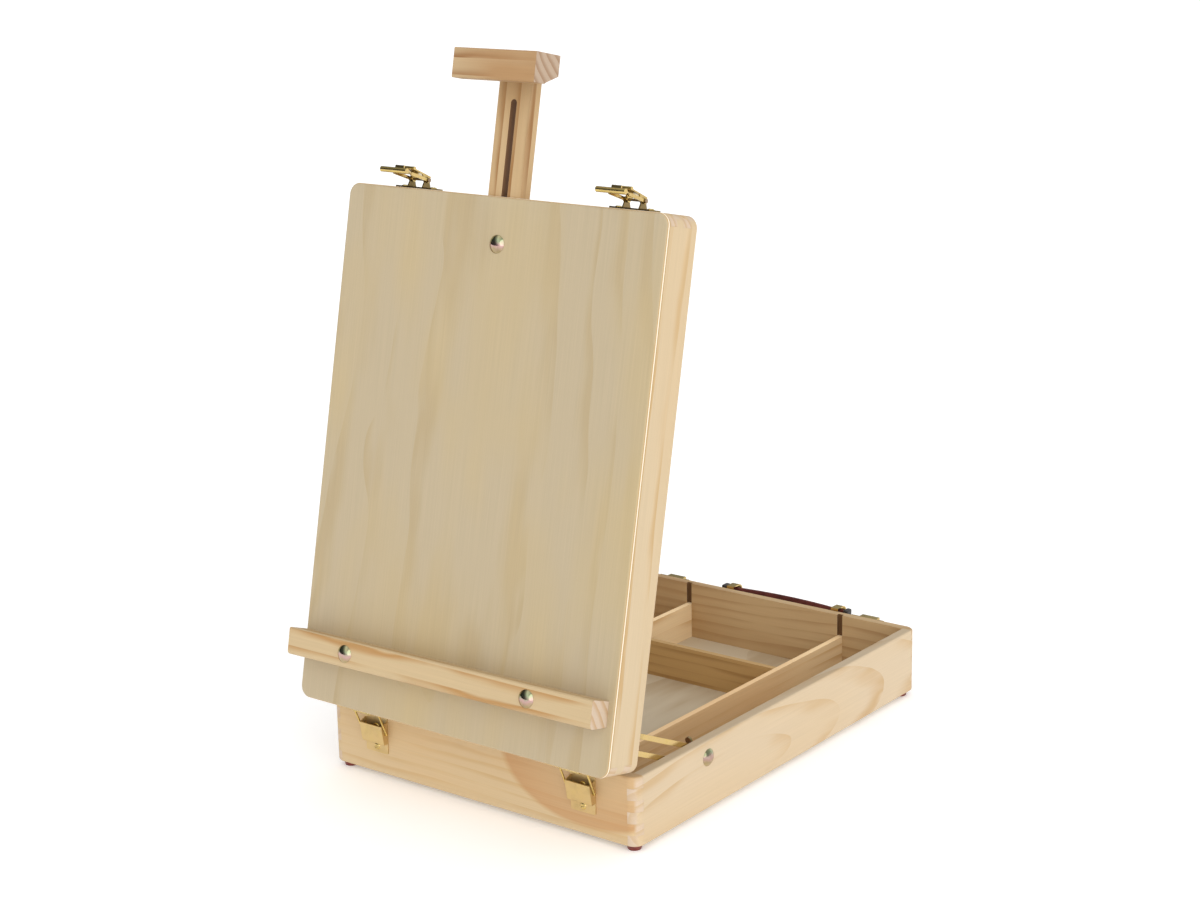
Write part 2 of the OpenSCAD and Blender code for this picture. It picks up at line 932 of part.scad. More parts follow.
module mast_washer() {
  color(brass) lid_place()
    translate([box_w / 2, mast_bolt_v, mast_n0 - 0.1 - washer_t]) flat_washer(8);
}

module mast_wing_nut() {
  color(steel) lid_place()
    translate([box_w / 2, mast_bolt_v, mast_n0 - 0.2 - washer_t]) rotate([180, 0, 0]) wing_nut();
}

module mast() {
  half = mast_w / 2;
  r = slot_w / 2;
  color(wood_mast) lid_place() translate([box_w / 2, 0, 0]) difference() {
    slab(-half, half, mast_low, mast_high, mast_n0, mast_n1);
    slab(-r, r, slot_low + r, slot_high - r, mast_n0 - eps, mast_n1 + eps);
    rod_z(0, slot_low + r, mast_n0 - eps, mast_n1 + eps, r);
    rod_z(0, slot_high - r, mast_n0 - eps, mast_n1 + eps, r);
  }
}

module mast_head() {
  top = head_v + head_h;
  back = mast_n1;
  front = mast_n1 + head_d;
  color(wood_mast) lid_place() translate([box_w / 2, 0, 0]) along_x(head_w) polygon([
    [head_v, front - 0.6], [head_v + 0.6, front], [top - 0.6, front], [top, front - 0.6],
    [top, back], [head_v + 7.4, back], [head_v + 6.6, back + 2.2], [head_v + 1.4, back + 14.6],
    [head_v, back + 17]
  ]);
}

// ---------- latches on the top wall of the lid ----------

module latch_base(x) {
  color(brass) latch_place(x) difference() {
    union() {
      slab(-latch_plate_half, latch_plate_half, 0, latch_plate_t, 5, 20);
      for (s = [-1, 1]) {
        translate([s * 8, 0, 0]) along_x(sheet_t) {
          polygon([[0.5, 7.5], [0.5, 18.5], [latch_pin_d, 15.5], [latch_pin_d, 10.5]]);
          translate([latch_pin_d, latch_pin_n]) circle(2.5);
        }
      }
    }
    rod_x(-9, 9, latch_pin_d, latch_pin_n, latch_pin_r);
    for (s = [-1, 1]) {
      rod_y(s * latch_screw_x, -eps, latch_plate_t + eps, latch_screw_n, screw_r);
    }
  }
}

module latch_base_l() {
  latch_base(hardware_x);
}

module latch_base_r() {
  latch_base(box_w - hardware_x);
}

module latch_base_screws() {
  color(brass) {
    for (x = [hardware_x, box_w - hardware_x]) {
      for (s = [-1, 1]) {
        latch_place(x) translate([s * latch_screw_x, latch_plate_t, latch_screw_n])
          rotate([-90, 0, 0]) wood_screw();
      }
    }
  }
}

module latch_pins() {
  color(steel) {
    for (x = [hardware_x, box_w - hardware_x]) {
      latch_place(x) {
        rod_x(-10.8, 10.8, latch_pin_d, latch_pin_n, latch_pin_r);
        rod_x(-11, -10.2, latch_pin_d, latch_pin_n, 1.8);
        rod_x(10.2, 11, latch_pin_d, latch_pin_n, 1.8);
      }
    }
  }
}

// from the pin: y away from it along the part, z outwards at rest
module latch_arm_place(x, tilt) {
  latch_place(x) translate([0, latch_pin_d, latch_pin_n]) rotate([90 - tilt, 0, 0]) mirror([0, 0, 1]) children();
}

module latch_lever(x) {
  color(brass) latch_arm_place(x, lever_rest) difference() {
    union() {
      slab(-7, 7, -5, 17, 3.2, 4.4);
      rod_x(-7, 7, 17, 4.4, 1.4);
      for (s = [-1, 1]) {
        translate([s * 6.4, 0, 0]) along_x(sheet_t) {
          circle(2.4);
          polygon([[-2.3, 0], [2.3, 0], [6, 3.4], [-4.6, 3.4]]);
        }
      }
    }
    rod_x(-8, 8, 0, 0, latch_pin_r + 0.15);
  }
}

module latch_lever_l() {
  latch_lever(hardware_x);
}

module latch_lever_r() {
  latch_lever(box_w - hardware_x);
}

module latch_claw(x) {
  reach = 33;
  color(brass) latch_arm_place(x, claw_rest) difference() {
    union() {
      translate([0, 0, -0.6]) linear_extrude(sheet_t) polygon([
        [-10, 21.8], [10, 21.8], [13.6, 29], [14, reach], [-14, reach], [-13.6, 29]
      ]);
      rod_x(-14, 14, reach, 2.2 - latch_roller_r, latch_roller_r);
      slab(-4.75, 4.75, 26.4, 27.6, 0.4, 5.4);
      for (s = [-1, 1]) {
        translate([s * 9.4, 0, 0]) along_x(sheet_t) {
          circle(2.4);
          translate([0, -1.4]) square([22.6, 2.8]);
        }
      }
    }
    rod_x(-11, 11, 0, 0, latch_pin_r + 0.15);
  }
}

module latch_claw_l() {
  latch_claw(hardware_x);
}

module latch_claw_r() {
  latch_claw(box_w - hardware_x);
}

// ---------- drawing ----------

base_front_wall();
base_rear_wall();
base_left_wall();
base_right_wall();
base_floor();
divider_left();
divider_right();
divider_cross();
feet();
hinge_base_leaf_l();
hinge_base_leaf_r();
hinge_pins();
hinge_base_screws();
hinge_stay_l();
hinge_stay_r();
clamp_bolt_l();
clamp_bolt_r();
clamp_washers();
clamp_wing_nut_l();
clamp_wing_nut_r();
strike_plate_l();
strike_plate_r();
strike_screws();
handle_loop_l();
handle_loop_r();
loop_screws();
handle_strap();
lid_top_wall();
lid_bottom_wall();
lid_left_wall();
lid_right_wall();
lid_panel();
hinge_lid_leaf_l();
hinge_lid_leaf_r();
hinge_lid_screws();
strut_pivot_screws();
strut_l();
strut_r();
canvas_ledge();
ledge_bolts();
ledge_washers();
ledge_nuts();
mast_bolt();
mast_washer();
mast_wing_nut();
mast();
mast_head();
latch_base_l();
latch_base_r();
latch_base_screws();
latch_pins();
latch_lever_l();
latch_lever_r();
latch_claw_l();
latch_claw_r();
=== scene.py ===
"""Looks of the tabletop box easel: pine, plywood, yellow zinc hardware, a dark red strap and feet."""

import json
import math

import bmesh
import bpy
from mathutils import Matrix, Vector


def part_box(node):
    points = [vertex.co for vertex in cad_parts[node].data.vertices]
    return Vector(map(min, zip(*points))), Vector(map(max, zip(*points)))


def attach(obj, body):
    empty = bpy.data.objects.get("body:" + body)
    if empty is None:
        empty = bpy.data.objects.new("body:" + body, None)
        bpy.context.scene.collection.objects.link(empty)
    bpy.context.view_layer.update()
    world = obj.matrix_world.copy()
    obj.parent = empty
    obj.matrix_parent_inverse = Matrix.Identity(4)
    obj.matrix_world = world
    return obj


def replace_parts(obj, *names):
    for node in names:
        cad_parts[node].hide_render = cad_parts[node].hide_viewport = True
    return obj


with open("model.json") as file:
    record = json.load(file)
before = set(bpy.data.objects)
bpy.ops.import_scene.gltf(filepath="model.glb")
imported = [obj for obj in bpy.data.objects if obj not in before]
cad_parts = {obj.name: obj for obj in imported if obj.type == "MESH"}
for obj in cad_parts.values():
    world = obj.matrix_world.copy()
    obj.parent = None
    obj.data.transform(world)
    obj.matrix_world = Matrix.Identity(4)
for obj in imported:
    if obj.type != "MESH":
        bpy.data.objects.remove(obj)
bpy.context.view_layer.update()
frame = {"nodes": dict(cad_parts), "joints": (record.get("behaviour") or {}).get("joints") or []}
NODES = frame["nodes"]
JOINTS = {j["name"]: j for j in frame["joints"]}

MM = 0.001
BOX_L = 440 * MM
BASE_H = 60 * MM
PANEL_BACK = 37 * MM
FLOOR_UNDERSIDE = 1.5 * MM
PLY_T = 1 * MM

# box coordinates start at the left end of the hinge wall's underside
BOX_ORIGIN = Vector((
    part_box("base_left_wall")[0].x,
    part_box("base_front_wall")[0].y,
    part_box("base_front_wall")[0].z,
))
PIN = Vector(JOINTS["lid_hinge"]["pos_m"])
# the mast slides straight up the lid, so its axis leans as the lid does
LID_UP = JOINTS["mast_slide"]["axis"]
LID_OPEN = math.atan2(LID_UP[2], LID_UP[1])
SEAM_ORIGIN = BOX_ORIGIN + Vector((0, 0, BASE_H))


# ---------- node trees ----------

class Net:
    """A material's node tree, with one short call for each node."""

    def __init__(self, name):
        self.material = bpy.data.materials.new(name)
        self.material.use_nodes = True
        self.tree = self.material.node_tree
        self.tree.nodes.clear()
        self.output = self.add("ShaderNodeOutputMaterial")
        self.shader = self.add("ShaderNodeBsdfPrincipled")
        self.tree.links.new(self.shader.outputs[0], self.output.inputs["Surface"])

    def add(self, kind, settings=(), **inputs):
        node = self.tree.nodes.new(kind)
        for key, value in dict(settings).items():
            setattr(node, key, value)
        for key, value in inputs.items():
            self.put(node, key.replace("_", " "), value)
        return node

    def put(self, node, socket, value):
        """Feeds a socket that is given by its name, or by its number as in i0."""
        numbered = socket[0] == "i" and socket[1:].isdigit()
        self.feed(node.inputs[int(socket[1:]) if numbered else socket], value)

    def feed(self, socket, value):
        if isinstance(value, bpy.types.NodeSocket):
            self.tree.links.new(value, socket)
        else:
            socket.default_value = value

    def place(self):
        return self.add("ShaderNodeTexCoord").outputs["Object"]

    def split(self, vector):
        return self.add("ShaderNodeSeparateXYZ", Vector=vector).outputs

    def math(self, operation, a, b=0.0, c=0.0):
        return self.add("ShaderNodeMath", {"operation": operation}, i0=a, i1=b, i2=c).outputs[0]

    def vector(self, operation, a, b=(0, 0, 0)):
        return self.add("ShaderNodeVectorMath", {"operation": operation}, i0=a, i1=b).outputs[0]

    def mapping(self, source, **inputs):
        return self.add("ShaderNodeMapping", Vector=source, **inputs).outputs[0]

    def scaled(self, source, grain, along, across):
        """A stretched copy of a place, with one scale along the grain and another across it."""
        return self.mapping(source, Scale=tuple(along if i == grain else across for i in range(3)))

    def noise(self, source, scale, detail=2.0, rough=0.5, output="Fac"):
        node = self.add("ShaderNodeTexNoise", Vector=source, Scale=scale, Detail=detail, Roughness=rough)
        return node.outputs[output]

    def ramp(self, source, stops, kind="LINEAR"):
        node = self.add("ShaderNodeValToRGB", Fac=source)
        node.color_ramp.interpolation = kind
        points = node.color_ramp.elements
        while len(points) < len(stops):
            points.new(0.5)
        for point, (place, tone) in zip(points, stops):
            point.position = place
            point.color = rgba(tone)
        return node.outputs[0]

    def mix(self, amount, a, b, blend="MIX"):
        node = self.add("ShaderNodeMix", {"data_type": "RGBA", "blend_type": blend})
        for socket, value in ((0, amount), (6, rgba(a)), (7, rgba(b))):
            self.feed(node.inputs[socket], value)
        return node.outputs[2]

    def bump(self, height, strength, distance, edge=0.0):
        """Bump over corners that are softened by the edge radius."""
        node = self.add("ShaderNodeBump", Height=height, Strength=strength, Distance=distance)
        if edge:
            self.put(node, "Normal", self.add("ShaderNodeBevel", {"samples": 4}, Radius=edge).outputs[0])
        return node.outputs[0]

    def finish(self, **inputs):
        """Feeds the shader and gives back the finished material."""
        for key, value in inputs.items():
            self.put(self.shader, key.replace("_", " "), value)
        return self.material


def rgba(tone):
    """A grey level or an RGB tone as RGBA; a socket stays as it is."""
    if isinstance(tone, bpy.types.NodeSocket):
        return tone
    if isinstance(tone, (int, float)):
        return (tone, tone, tone, 1)
    return (*tone, 1)


def srgb(r, g, b):
    """A tone given as display values from 0 to 255, as linear light."""
    def linear(value):
        value /= 255
        return value / 12.92 if value <= 0.04045 else ((value + 0.055) / 1.055) ** 2.4
    return (linear(r), linear(g), linear(b))


def part_coordinates(net, tilted):
    """Metres from the left hinge corner: (x, y, z) of the box, or (x, v, n) of the lid."""
    source = net.add("ShaderNodeTexCoord")
    if not tilted:
        return net.mapping(source.outputs["Object"], Location=-BOX_ORIGIN), source.outputs["Normal"]
    back = (-LID_OPEN, 0, 0)
    shift = PIN - SEAM_ORIGIN - Matrix.Rotation(-LID_OPEN, 3, "X") @ PIN
    place = net.mapping(source.outputs["Object"], Location=shift, Rotation=back)
    return place, net.mapping(source.outputs["Normal"], Rotation=back)


# ---------- materials ----------

def growth_rings(net, centred, grain, stretch, rings, distortion, detail_scale):
    """Saw-edged rings round the pith, drawn out along the grain when stretch is small."""
    shape = {"wave_type": "RINGS", "rings_direction": "SPHERICAL", "wave_profile": "SAW"}
    space = net.scaled(centred, grain, stretch, 1.0)
    wave = net.add("ShaderNodeTexWave", shape, Vector=space, Scale=rings, Distortion=distortion,
                   Detail=2.0, Detail_Scale=detail_scale)
    return wave.outputs["Fac"]


def end_grain(net, face, place, normal, centred, grain, rings, end, late):
    """The face's tones, with cut ring ends where the surface looks along the grain."""
    ends = growth_rings(net, centred, grain, 0.0, rings * 1.2, 0.8, 2.0)
    tone = net.mix(net.ramp(ends, [(0.45, 0.0), (0.85, 0.55)]), end, late)
    pores = net.noise(place, 1600.0)
    tone = net.mix(net.math("MULTIPLY", pores, 0.12), tone, late)
    facing = net.math("ABSOLUTE", net.split(normal)[grain])
    return net.mix(net.ramp(facing, [(0.55, 0.0), (0.75, 1.0)]), face, tone)


def ply_edges(net, face, place, normal, underside, outer):
    """The face's tones, with a pale middle ply between two darker ones on the edges."""
    layer = net.math("DIVIDE", net.math("SUBTRACT", net.split(place)[2], underside), PLY_T)
    middle = net.math("LESS_THAN", net.math("ABSOLUTE", net.math("SUBTRACT", layer, 1.5)), 0.5)
    edge = net.mix(middle, outer, srgb(238, 226, 204))
    flat = net.math("ABSOLUTE", net.split(normal)[2])
    return net.mix(net.math("GREATER_THAN", flat, 0.75), edge, face)


def dark_patch(net, face, place, drift, tint, centre, reach):
    """An oval patch of darker heartwood with a wavering outline."""
    wavering = net.vector("ADD", place, net.vector("MULTIPLY", drift, (0.03, 0.03, 0.03)))
    away = net.vector("DIVIDE", net.vector("SUBTRACT", wavering, centre), reach)
    length = net.add("ShaderNodeVectorMath", {"operation": "LENGTH"}, i0=away).outputs["Value"]
    return net.mix(net.ramp(length, [(0.2, 0.15), (0.93, 0.7), (1.0, 0.0)]), face, tint)


def painted_groove_shade(net, colour, place, upward, grain, groove_shade_tone, across, along):
    """Painted shade: a dark tone on the upright surfaces of a groove, which spans across and along the
    grain.
    """
    spot = net.split(place)
    within = net.math("LESS_THAN", net.math("ABSOLUTE", upward), 0.5)
    for axis, (low, high) in ((1 - grain, across), (grain, along)):
        within = net.math("MULTIPLY", within, net.math("GREATER_THAN", spot[axis], low))
        within = net.math("MULTIPLY", within, net.math("LESS_THAN", spot[axis], high))
    return net.mix(within, colour, groove_shade_tone)


def wood(name, tilted, grain, early, late, end, pith, rings, stretch, warp, seed, wavy=5.0,
         blotch=None, patch=None, groove_shade=None, top_tone_and_light=1.0, fibre=0.10, plies=False):
    """Planed pine, or plywood. Its tones are those of early wood, late wood and end grain.

    grain is the axis it runs along and pith the centre of its growth rings, in metres. blotch is a
    tone and the scale of its clouds. patch holds what dark_patch takes, and groove_shade the painted shade
    that painted_groove_shade puts in a groove. top_tone_and_light is the brightness of surfaces that face
    up:
    darker rims on the walls, and a painted highlight on the divider tops.
    top is the brightness of surfaces that face up.
    """
    net = Net(name)
    place, normal = part_coordinates(net, tilted)
    shifted = net.vector("ADD", place, (seed, seed * 1.7, seed * 0.6))
    drift = net.noise(net.scaled(shifted, grain, 0.35, 1.0), wavy, 3.0, 0.55, "Color")
    drift = net.vector("SUBTRACT", drift, (0.5, 0.5, 0.5))
    warped = net.vector("ADD", place, net.vector("MULTIPLY", drift, (warp, warp, warp)))
    centred = net.vector("SUBTRACT", warped, pith)
    ring = growth_rings(net, centred, grain, stretch, rings, 0.6, 1.5)
    uneven = net.noise(net.scaled(shifted, grain, 0.6, 3.0), 14.0)
    figure = net.math("MULTIPLY", ring, net.math("MULTIPLY_ADD", uneven, 1.5, -0.15))
    face = net.ramp(figure, [(0.0, early), (0.30, early), (0.70, late), (0.92, early)], "EASE")
    if blotch:
        tint, size = blotch
        cloud = net.noise(net.scaled(shifted, grain, 0.35, 1.0), size)
        face = net.mix(net.ramp(cloud, [(0.42, 0.0), (0.72, 1.0)]), face, tint)
    if patch:
        face = dark_patch(net, face, place, drift, *patch)
    if plies:
        colour = ply_edges(net, face, place, normal, PANEL_BACK if tilted else FLOOR_UNDERSIDE, end)
    else:
        colour = end_grain(net, face, place, normal, centred, grain, rings, end, late)
    upward = net.split(normal)[2]
    # painted shade on the inner faces of grooves
    if groove_shade:
        colour = painted_groove_shade(net, colour, place, upward, grain, *groove_shade)
    streak = net.noise(net.scaled(shifted, grain, 9.0, 900.0), 1.0, 4.0, 0.6)
    shade = net.math("MULTIPLY_ADD", streak, fibre * 2, 1 - fibre)
    # surfaces that face up: a painted highlight on the divider tops, darker rims on the walls
    if top_tone_and_light != 1.0:
        shade = net.math("MULTIPLY", shade, net.ramp(upward, [(0.6, 1.0), (0.95, top_tone_and_light)]))
    grey = net.add("ShaderNodeCombineColor", Red=shade, Green=shade, Blue=shade).outputs[0]
    height = net.math("ADD", net.math("MULTIPLY", streak, 0.6), net.math("MULTIPLY", ring, 0.25))
    return net.finish(Base_Color=net.mix(1.0, colour, grey, "MULTIPLY"),
                      Roughness=net.math("MULTIPLY_ADD", streak, 0.2, 0.5),
                      Specular_IOR_Level=0.35,
                      Normal=net.bump(height, 0.25, 0.0003, 0.5 * MM))


def plated(name, tone, dull, tint, rough=0.3, metal=1.0):
    """Zinc plate: gold that drifts to pink and green where the surface turns up, its own film colours laid
    out as a painted sheen, dull in patches.
    """
    net = Net(name)
    coordinates = net.add("ShaderNodeTexCoord")
    source = coordinates.outputs["Object"]
    upward = net.split(coordinates.outputs["Normal"])[2]
    # the plating's pink and green film, placed where the surface turns up as a painted sheen
    film_and_sheen = net.math("MULTIPLY_ADD", net.noise(source, 160.0, 3.0), 0.35,
                    net.math("MULTIPLY_ADD", upward, 0.45, 0.28))
    film_and_sheen_tone = net.ramp(film_and_sheen, [(0.05, tone), (0.30, tone), (0.48, srgb(205, 165, 165)),
                              (0.66, srgb(160, 175, 140)), (0.9, tone)])
    worn = net.noise(source, 45.0, 4.0, 0.65)
    patch = net.ramp(worn, [(0.5, 0.0), (0.72, 0.6)])
    brushed = net.noise(net.mapping(source, Scale=(1.0, 5.0, 1.0)), 700.0)
    return net.finish(Base_Color=net.mix(patch, net.mix(tint, tone, film_and_sheen_tone), dull),
                      Metallic=metal,
                      Roughness=net.math("MULTIPLY_ADD", worn, 0.18, rough - 0.06),
                      Normal=net.bump(brushed, 0.08, 0.0001, 0.25 * MM))


def foot_plastic(name):
    net = Net(name)
    source = net.place()
    cloud = net.noise(source, 220.0, 3.0)
    return net.finish(Base_Color=net.ramp(cloud, [(0.3, srgb(96, 30, 26)), (0.75, srgb(138, 56, 46))]),
                      Roughness=net.math("MULTIPLY_ADD", cloud, 0.2, 0.22),
                      Normal=net.bump(net.noise(source, 1500.0), 0.12, 0.0001, 0.4 * MM))


def strap_leather(name, low, high):
    net = Net(name)
    source = net.place()
    pebble = net.add("ShaderNodeTexVoronoi", {"feature": "SMOOTH_F1"}, Vector=source, Scale=700.0)
    cloud = net.noise(source, 60.0, 3.0)
    return net.finish(Base_Color=net.ramp(cloud, [(0.3, low), (0.7, high)]),
                      Roughness=net.math("MULTIPLY_ADD", cloud, 0.25, 0.3),
                      Normal=net.bump(pebble.outputs["Distance"], 0.35, 0.0003))


def thread(name):
    net = Net(name)
    wave = net.add("ShaderNodeTexWave", {"bands_direction": "DIAGONAL"}, Vector=net.place(), Scale=900.0)
    twist = wave.outputs["Fac"]
    return net.finish(Base_Color=net.ramp(twist, [(0.2, srgb(60, 24, 20)), (0.8, srgb(120, 62, 50))]),
                      Roughness=net.math("MULTIPLY_ADD", twist, 0.2, 0.6),
                      Normal=net.bump(twist, 0.3, 0.0002))


def studio_floor(name):
    """Near-white paper that glows a little, so that it stays pale in the object's soft shadow."""
    net = Net(name)
    cloud = net.noise(net.place(), 3.0)
    return net.finish(Base_Color=net.ramp(cloud, [(0.0, 0.97), (1.0, 0.99)]),
                      Roughness=net.math("MULTIPLY_ADD", cloud, 0.1, 0.75),
                      Emission_Color=(1, 1, 1, 1),
                      Emission_Strength=0.2)


# ---------- which piece gets which material ----------

ALONG_X, ALONG_Y = 0, 1


def paint(material, *names):
    for name in names:
        NODES[name].data.materials.clear()
        NODES[name].data.materials.append(material)


def sides(*stems):
    """The names of pieces that exist once on the left and once on the right."""
    return [stem + end for stem in stems for end in ("_l", "_r")]


def paint_box():
    front = wood("front_pine", False, ALONG_X,
                 srgb(202, 180, 143), srgb(192, 162, 119), srgb(204, 182, 158), pith=(0.20, 0.05, -0.09),
                 rings=36, stretch=0.05, warp=0.03, seed=1.3, top_tone_and_light=0.86,
                 blotch=(srgb(204, 174, 130), 9.0),
                 patch=(srgb(185, 138, 89), (0.283, 0.0, 0.060), (0.095, 0.08, 0.053)))
    # its painted groove shade is inside the slots that hold the dividers, just below the inner face
    # its darker tones are partly the wood's own, partly painted shade inside the box
    rear = wood("rear_pine", False, ALONG_X,
                srgb(196, 167, 125), srgb(176, 142, 101), srgb(210, 186, 154), pith=(0.05, 0.50, -0.06),
                rings=36, stretch=0.05, warp=0.06, seed=3.1, top_tone_and_light=0.95, blotch=(srgb(176, 140, 96), 12.0),
                groove_shade=(srgb(112, 82, 52), (430.7 * MM, 434.5 * MM), (10 * MM, 320 * MM)))
    right = wood("right_pine", False, ALONG_Y,
                 srgb(204, 184, 155), srgb(192, 162, 122), srgb(202, 182, 160), pith=(0.345, 0.11, 0.022),
                 rings=22, stretch=0.20, warp=0.03, seed=5.2, top_tone_and_light=0.86, blotch=(srgb(204, 180, 144), 7.0))
    left = wood("left_pine", False, ALONG_Y,
                srgb(206, 182, 148), srgb(188, 156, 116), srgb(204, 182, 158), pith=(-0.015, 0.05, 0.075),
                rings=22, stretch=0.22, warp=0.03, seed=7.7, top_tone_and_light=0.86, blotch=(srgb(200, 170, 128), 7.0))
    # the long dividers' pale tones are painted light where the box shades them
    lit_long_boards = wood("divider_pine_long_lit", False, ALONG_Y,
                    srgb(229, 202, 160), srgb(208, 171, 122), srgb(212, 190, 160), pith=(0.25, 0.2, -0.08),
                    rings=32, stretch=0.06, warp=0.03, seed=9.4, top_tone_and_light=1.22, blotch=(srgb(216, 178, 130), 8.0))
    # the cross divider's dark tones are painted shade, the same pine as the long dividers
    shaded_cross_boards = wood("divider_pine_cross_shaded", False, ALONG_X,
                    srgb(189, 153, 100), srgb(166, 128, 78), srgb(208, 186, 154), pith=(0.1, 0.32, -0.10),
                    rings=34, stretch=0.05, warp=0.02, seed=2.6)
    ply = wood("floor_ply", False, ALONG_Y,
               srgb(197, 182, 156), srgb(182, 162, 132), srgb(186, 152, 104), pith=(0.17, 0.1, -0.35),
               rings=26, stretch=0.05, warp=0.05, seed=4.4, fibre=0.07, plies=True)
    paint(front, "base_front_wall")
    paint(rear, "base_rear_wall")
    paint(right, "base_right_wall")
    paint(left, "base_left_wall")
    paint(lit_long_boards, "divider_left", "divider_right")
    paint(shaded_cross_boards, "divider_cross")
    paint(ply, "base_floor")


def paint_lid():
    end_walls = wood("lid_end_pine", True, ALONG_X,
                     srgb(204, 178, 138), srgb(188, 152, 106), srgb(204, 182, 158), pith=(0.1, 0.46, -0.04),
                     rings=40, stretch=0.05, warp=0.02, seed=6.1)
    side_walls = wood("lid_side_pine", True, ALONG_Y,
                      srgb(202, 181, 148), srgb(192, 160, 114), srgb(202, 182, 158), pith=(0.39, 0.2, 0.07),
                      rings=22, stretch=0.04, warp=0.02, seed=8.8, blotch=(srgb(204, 176, 134), 6.0))
    panel = wood("panel_ply", True, ALONG_Y,
                 srgb(183, 167, 138), srgb(178, 159, 125), srgb(186, 150, 98), pith=(0.16, 0.3, -0.3),
                 rings=22, stretch=0.03, warp=0.06, seed=0.7, fibre=0.10, plies=True,
                 blotch=(srgb(188, 168, 128), 13.0))
    ledge = wood("ledge_pine", True, ALONG_X,
                 srgb(197, 173, 134), srgb(178, 136, 84), srgb(200, 180, 158), pith=(0.12, 0.005, 0.115),
                 rings=32, stretch=0.02, warp=0.006, wavy=3.0, seed=3.9)
    # its painted groove shade is inside the long slot, in the middle of the lid
    mast = wood("mast_pine", True, ALONG_Y,
                srgb(192, 163, 122), srgb(150, 108, 62), srgb(190, 166, 140), pith=(0.12, 0.3, 0.07),
                rings=26, stretch=0.01, warp=0.01, seed=1.9, blotch=(srgb(178, 142, 96), 18.0),
                groove_shade=(srgb(122, 88, 58), (161 * MM, 169 * MM), (0, 600 * MM)))
    head = wood("head_pine", True, ALONG_X,
                srgb(190, 165, 128), srgb(138, 96, 56), srgb(182, 160, 138), pith=(0.1, 0.595, 0.0),
                rings=34, stretch=0.02, warp=0.01, seed=5.5, blotch=(srgb(172, 134, 92), 20.0))
    paint(end_walls, "lid_top_wall", "lid_bottom_wall")
    paint(side_walls, "lid_left_wall", "lid_right_wall")
    paint(panel, "lid_panel")
    paint(ledge, "canvas_ledge")
    paint(mast, "mast")
    paint(head, "mast_head")


GOLD = plated("zinc_gold", srgb(214, 188, 112), srgb(150, 126, 70), tint=0.2, rough=0.15)
SATIN = plated("zinc_satin", srgb(206, 179, 118), srgb(172, 147, 96), tint=0.12, rough=0.33, metal=0.66)
BRIGHT = plated("zinc_bolt", srgb(176, 158, 118), srgb(122, 102, 76), tint=0.85, rough=0.12)
DULL = plated("zinc_dull", srgb(150, 132, 90), srgb(84, 72, 48), tint=0.3, rough=0.3)


def paint_hardware():
    shadow = plated("zinc_shadow", srgb(128, 110, 60), srgb(60, 50, 28), tint=0.1, rough=0.25)
    paint(GOLD, *sides("hinge_lid_leaf", "hinge_stay", "strut", "strike_plate", "handle_loop",
                       "latch_lever", "latch_claw"),
          "clamp_washers", "ledge_washers", "mast_washer", "strut_pivot_screws")
    paint(SATIN, *sides("hinge_base_leaf"))
    paint(BRIGHT, *sides("clamp_bolt"), "ledge_bolts", "mast_bolt")
    paint(DULL, *sides("clamp_wing_nut"), "mast_wing_nut", "hinge_pins", "latch_pins", "ledge_nuts")
    paint(shadow, *sides("latch_base"))
    paint(foot_plastic("foot_red"), "feet")


# ---------- pieces made here ----------

def loose_solids(name):
    """The corner points of each separate solid of a CAD node."""
    mesh = bmesh.new()
    mesh.from_mesh(NODES[name].data)
    bmesh.ops.remove_doubles(mesh, verts=mesh.verts, dist=1e-6)
    seen, found = set(), []
    for start in mesh.verts:
        if start in seen:
            continue
        group, queue = [], [start]
        seen.add(start)
        while queue:
            vert = queue.pop()
            group.append(vert.co.copy())
            for edge in vert.link_edges:
                other = edge.other_vert(vert)
                if other not in seen:
                    seen.add(other)
                    queue.append(other)
        found.append(group)
    mesh.free()
    return found


def add_object(name, mesh, material, smooth=True):
    data = bpy.data.meshes.new(name)
    mesh.to_mesh(data)
    mesh.free()
    for face in data.polygons:
        face.use_smooth = smooth
    data.materials.append(material)
    made = bpy.data.objects.new(name, data)
    bpy.context.scene.collection.objects.link(made)
    return made


def add_piece(name, mesh, material, body):
    piece = add_object(name, mesh, material)
    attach(piece, body)
    return piece


# screws: a domed head with a cross recess, and a plain tapered shank
SCREW_HEAD_H = 1.1 * MM
RECESS_DEPTH = 0.55 * MM
RECESS_HALF = 0.42 * MM
RECESS_REACH = 0.55
SHANK_TIP_R = 1.0 * MM
SHANK_TOP_R = 1.4 * MM


def cross_head(mesh, place, radius):
    """A domed screw head with a cross recess, its underside on z = 0 of place."""
    steps = 22
    rows = []
    for i in range(steps + 1):
        row = []
        for j in range(steps + 1):
            a, b = 2 * i / steps - 1, 2 * j / steps - 1
            # square grid laid onto the disc
            x = radius * a * math.sqrt(1 - b * b / 2)
            y = radius * b * math.sqrt(1 - a * a / 2)
            far = (x * x + y * y) / (radius * radius)
            z = SCREW_HEAD_H * (1 - far) ** 0.6 if far < 1 else 0.0
            if math.hypot(x, y) < RECESS_REACH * radius and min(abs(x), abs(y)) < RECESS_HALF:
                z -= RECESS_DEPTH
            row.append(mesh.verts.new(place @ Vector((x, y, z))))
        rows.append(row)
    for i in range(steps):
        for j in range(steps):
            mesh.faces.new((rows[i][j], rows[i + 1][j], rows[i + 1][j + 1], rows[i][j + 1]))


